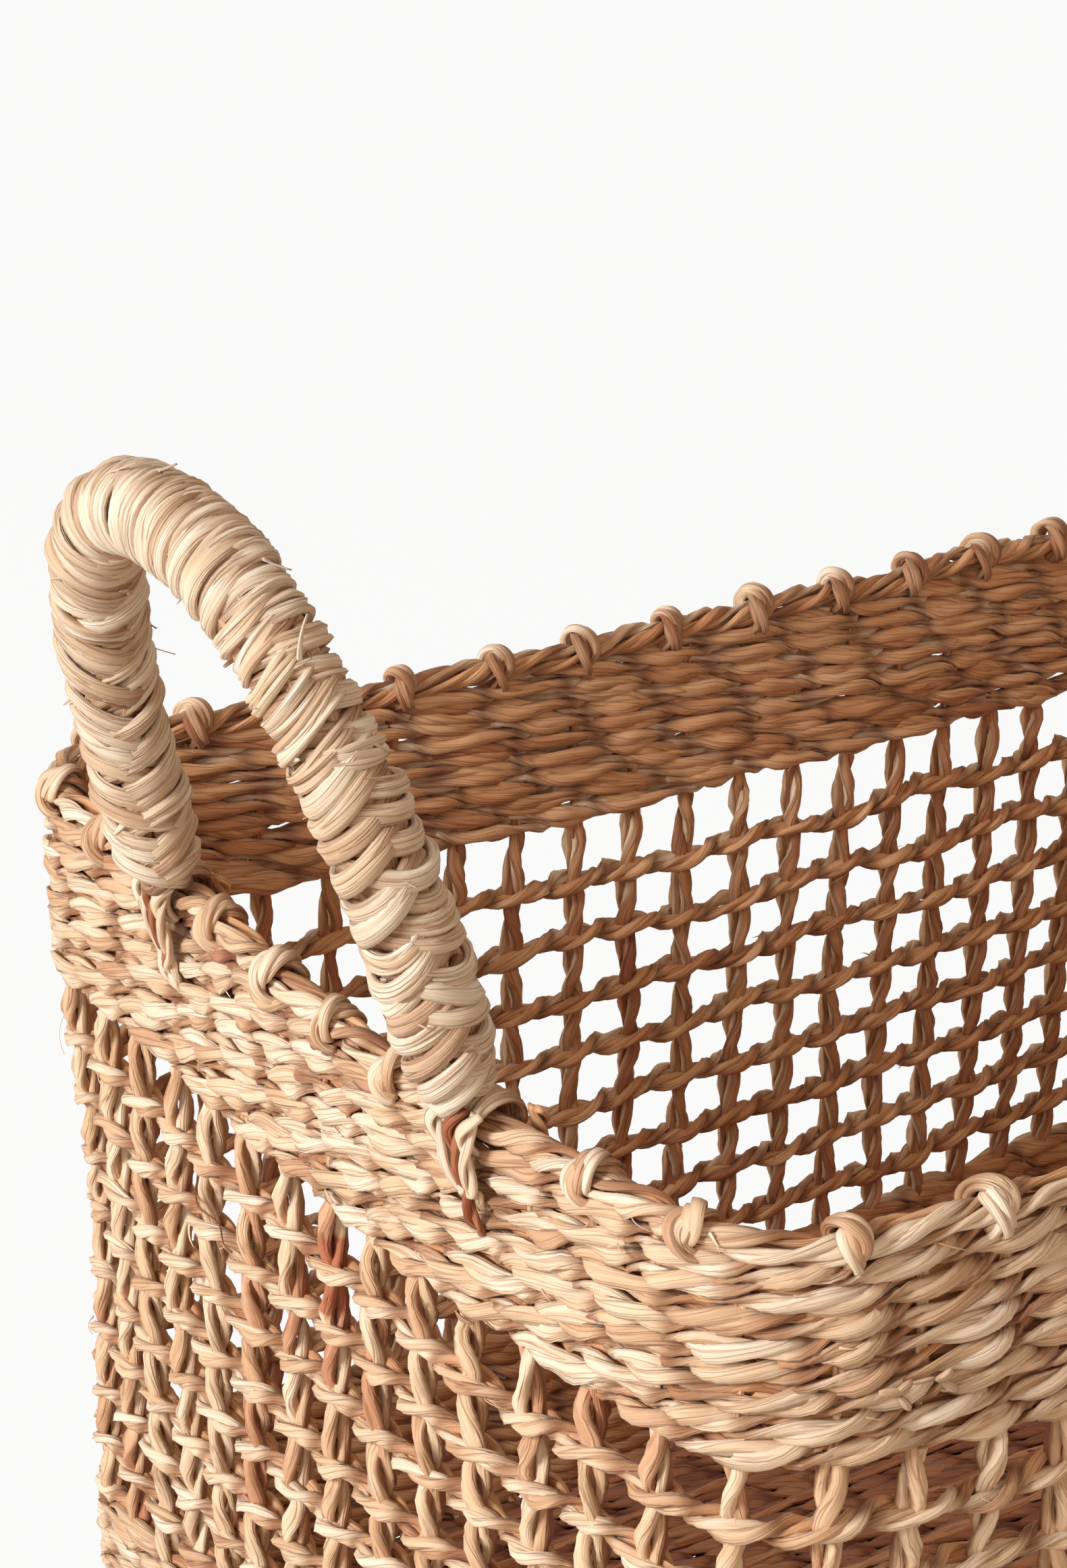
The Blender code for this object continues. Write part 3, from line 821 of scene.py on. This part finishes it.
def handles():
    handle("left", -1)
    handle("right", 1)
    foot = FOOT_PLACE / STAKE_PLACES
    nudge = SPAN_MIDDLE / PERIMETER
    for side_name, middle, sense in (("left", 0.75, 1), ("right", 0.25, -1)):
        for end_name, way in (("front", 1), ("back", -1)):
            tie(f"tie_{side_name}_{end_name}", f"handle_{side_name}_{end_name}_tie",
                middle + sense * (way * foot - nudge), 110 + round(8 * middle) + way)


# ---------------------------------------------------------------- loose ends

FIBRES = 230
SCRAPS = 34
SCRAPS_TOGETHER = 6           # of the scraps, those torn from one place
SCRAP_PLACE = (0.880, 0.2555)


def loose_fibres():
    """Torn ends that stand off the weave."""
    strands = Strands(120)
    draw = np.random.default_rng(121)
    for number in range(FIBRES):
        turn = draw.random()
        height = draw.choice(OPEN_HEIGHTS) if number % 3 else draw.uniform(BAND_BOTTOM, RIM_TOP)
        side = 1 if draw.random() < 0.65 else -1
        length = draw.uniform(0.003, 0.010)
        bend, rise = np.clip(draw.normal(0, 0.4, 2), -0.7, 0.7)
        share = np.linspace(0, 1, 9)
        out = side * (0.0032 + length * 0.45 * share * (1.4 - share))
        points, outward, along = wall(turn, height + length * rise * share, out,
                                      length * (0.8 * share + bend * share ** 2))
        wide = draw.uniform(0.00012, 0.0006) * (1.05 - share)
        strands.add(points, outward + 0.4 * along, wide, 0.00012, sides=5)
    for number in range(SCRAPS):
        if number < SCRAPS_TOGETHER:
            at = SCRAP_PLACE
        else:
            at = (draw.random(), draw.uniform(BAND_BOTTOM, RIM_TOP - 0.01))
        turn, height = at[0] + 0.004 * draw.normal(), at[1] + 0.003 * draw.normal()
        length = draw.uniform(0.004, 0.009)
        share = np.linspace(0, 1, 7)
        out = 0.0040 + draw.uniform(0.0006, 0.0022) * np.sin(PI * share * draw.uniform(0.5, 1.0))
        heading = draw.normal(0, 0.6)
        points, outward, along = wall(turn, height + length * share * math.sin(heading), out,
                                      length * share * math.cos(heading))
        face = outward + draw.normal(0, 0.35) * along
        wide = draw.uniform(0.0008, 0.0017) * np.sqrt(np.maximum(0.02, 1 - (1.9 * share - 0.9) ** 2))
        # lift 0.4 gives the scraps some painted shade.
        strands.add(points, face, wide, 0.00018, lift=0.4, tone=draw.uniform(0.3, 0.9), sides=5)
    share = np.linspace(0, 1, 24)
    points, outward, _ = wall(0.715 + 0.0135 * share, 0.2125 - 0.007 * share,
                              0.0046 + 0.001 * np.sin(9 * share))
    # A dark stray fibre: its own dark reddish tone, 1.2, and lift 0, which puts the full painted shade
    # colour on it to make it darker.
    strands.add(points, outward, 0.00035, 0.00025, lift=0.0, tone=1.2, sides=5)
    place(strands.build("loose_fibres", twined), "root", "twined_seagrass")


# ---------------------------------------------------------------- camera, floor and light

def camera():
    """Looks down over the near left corner at the left handle and the inside of the back wall."""
    yaw, pitch, roll = math.radians(34.19), math.radians(23.05), math.radians(1.16)
    ahead = Vector((math.sin(yaw) * math.cos(pitch), math.cos(yaw) * math.cos(pitch), -math.sin(pitch)))
    right = Vector((math.cos(yaw), -math.sin(yaw), 0))
    above = right.cross(ahead)
    rolled_right = math.cos(roll) * right + math.sin(roll) * above
    rolled_above = math.cos(roll) * above - math.sin(roll) * right
    data = bpy.data.cameras.new("camera")
    data.lens = 86.06
    data.clip_start, data.clip_end = 0.05, 60
    made = bpy.data.objects.new("camera", data)
    turned = Matrix((rolled_right, rolled_above, -ahead)).transposed()
    made.matrix_world = Matrix.Translation((-0.6572, -0.7188, 0.7048)) @ turned.to_4x4()
    bpy.context.scene.collection.objects.link(made)
    bpy.context.scene.camera = made


def area_light(name, place_at, target, size, power, colour):
    data = bpy.data.lights.new(name, "AREA")
    data.shape = "DISK"
    data.size = size
    data.energy = power
    data.color = colour
    made = bpy.data.objects.new(name, data)
    made.location = place_at
    made.rotation_euler = (Vector(target) - Vector(place_at)).to_track_quat("-Z", "Y").to_euler()
    bpy.context.scene.collection.objects.link(made)


def studio():
    """A pale floor that reads as plain white, a key from the front left and a soft fill."""
    mesh = bpy.data.meshes.new("floor")
    half = 14.0
    mesh.from_pydata([(-half, -half, -0.0004), (half, -half, -0.0004), (half, half, -0.0004),
                      (-half, half, -0.0004)], [], [(0, 1, 2, 3)])
    material = bpy.data.materials.new("floor_white")
    material.use_nodes = True
    nodes, links = material.node_tree.nodes, material.node_tree.links
    shader = nodes["Principled BSDF"]
    shader.inputs["Base Color"].default_value = (0.66, 0.60, 0.54, 1)
    shader.inputs["Roughness"].default_value = 0.9
    glow = nodes.new("ShaderNodeEmission")
    glow.inputs["Color"].default_value = (0.99, 0.992, 0.995, 1)
    rays = nodes.new("ShaderNodeLightPath")
    blend = nodes.new("ShaderNodeMixShader")
    seen = nodes.new("ShaderNodeMath")
    seen.operation = "MULTIPLY"
    seen.inputs[1].default_value = 0.93
    links.new(rays.outputs["Is Camera Ray"], seen.inputs[0])
    links.new(seen.outputs[0], blend.inputs["Fac"])
    links.new(shader.outputs["BSDF"], blend.inputs[1])
    links.new(glow.outputs["Emission"], blend.inputs[2])
    links.new(blend.outputs["Shader"], nodes["Material Output"].inputs["Surface"])
    mesh.materials.append(material)
    floor = bpy.data.objects.new("floor", mesh)
    bpy.context.scene.collection.objects.link(floor)

    world = bpy.data.worlds.new("studio")
    world.use_nodes = True
    nodes, links = world.node_tree.nodes, world.node_tree.links
    nodes["Background"].inputs["Color"].default_value = (1.0, 0.83, 0.67, 1)
    nodes["Background"].inputs["Strength"].default_value = 0.58
    shown = nodes.new("ShaderNodeBackground")
    shown.inputs["Color"].default_value = (0.955, 0.955, 0.95, 1)
    rays = nodes.new("ShaderNodeLightPath")
    blend = nodes.new("ShaderNodeMixShader")
    links.new(rays.outputs["Is Camera Ray"], blend.inputs["Fac"])
    links.new(nodes["Background"].outputs["Background"], blend.inputs[1])
    links.new(shown.outputs["Background"], blend.inputs[2])
    links.new(blend.outputs["Shader"], nodes["World Output"].inputs["Surface"])
    bpy.context.scene.world = world
    area_light("key", (-2.2, -0.06, 1.2), (-0.1, 0, 0.22), 0.8, 57, (0.87, 0.95, 1.0))
    area_light("fill", (0.3, -2.1, 0.9), (0, 0, 0.2), 1.4, 1.6, (1.0, 0.80, 0.60))
    bpy.context.scene.view_settings.view_transform = "Standard"


camera()
twined_band("twined_lower_band", "lower_band", 0.0044, FOOT_TOP + 0.005, 560, 0, 200)
twined_band("twined_upper_band", "upper_band", BAND_BOTTOM, BAND_TOP + 0.0018, 560, 26, 5200)
open_rows()
stakes()
base()
rim()
knots()
handles()
loose_fibres()
studio()
